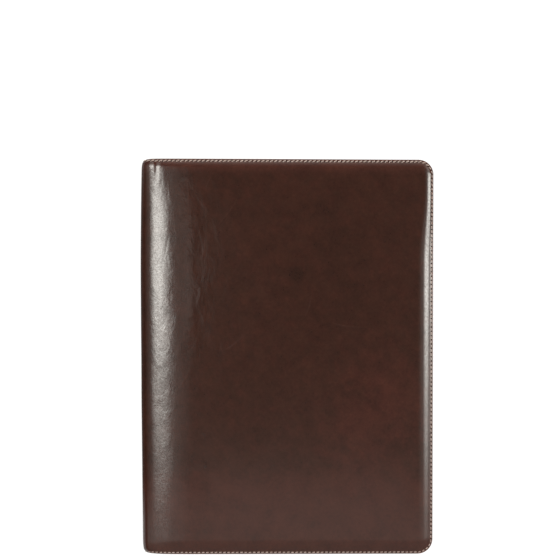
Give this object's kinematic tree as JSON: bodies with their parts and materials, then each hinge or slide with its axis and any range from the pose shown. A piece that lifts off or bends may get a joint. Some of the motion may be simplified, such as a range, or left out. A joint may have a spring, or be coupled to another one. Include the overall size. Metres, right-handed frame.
{
  "type": "leather document case",
  "caption": "Flat padded leather case for A4 sheets, closed and lying on its back cover, open at the head, foot and fore-edge.",
  "frame": {"origin": "centre of the box that bounds the closed case, at the table it lies on", "axes": "+X from the spine to the fore-edge, +Y from the foot to the head, +Z out of the front cover"},
  "size_m": [0.252, 0.339, 0.0252],
  "materials": {
    "cover_leather": "glazed, fine grain",
    "lining_leather": "matt",
    "thread": "waxed, twisted"
  },
  "bodies": {
    "root": {"outer_cover": "cover_leather", "front_lining": "lining_leather", "spine_lining": "lining_leather", "back_lining": "lining_leather"}
  },
  "joints": []
}
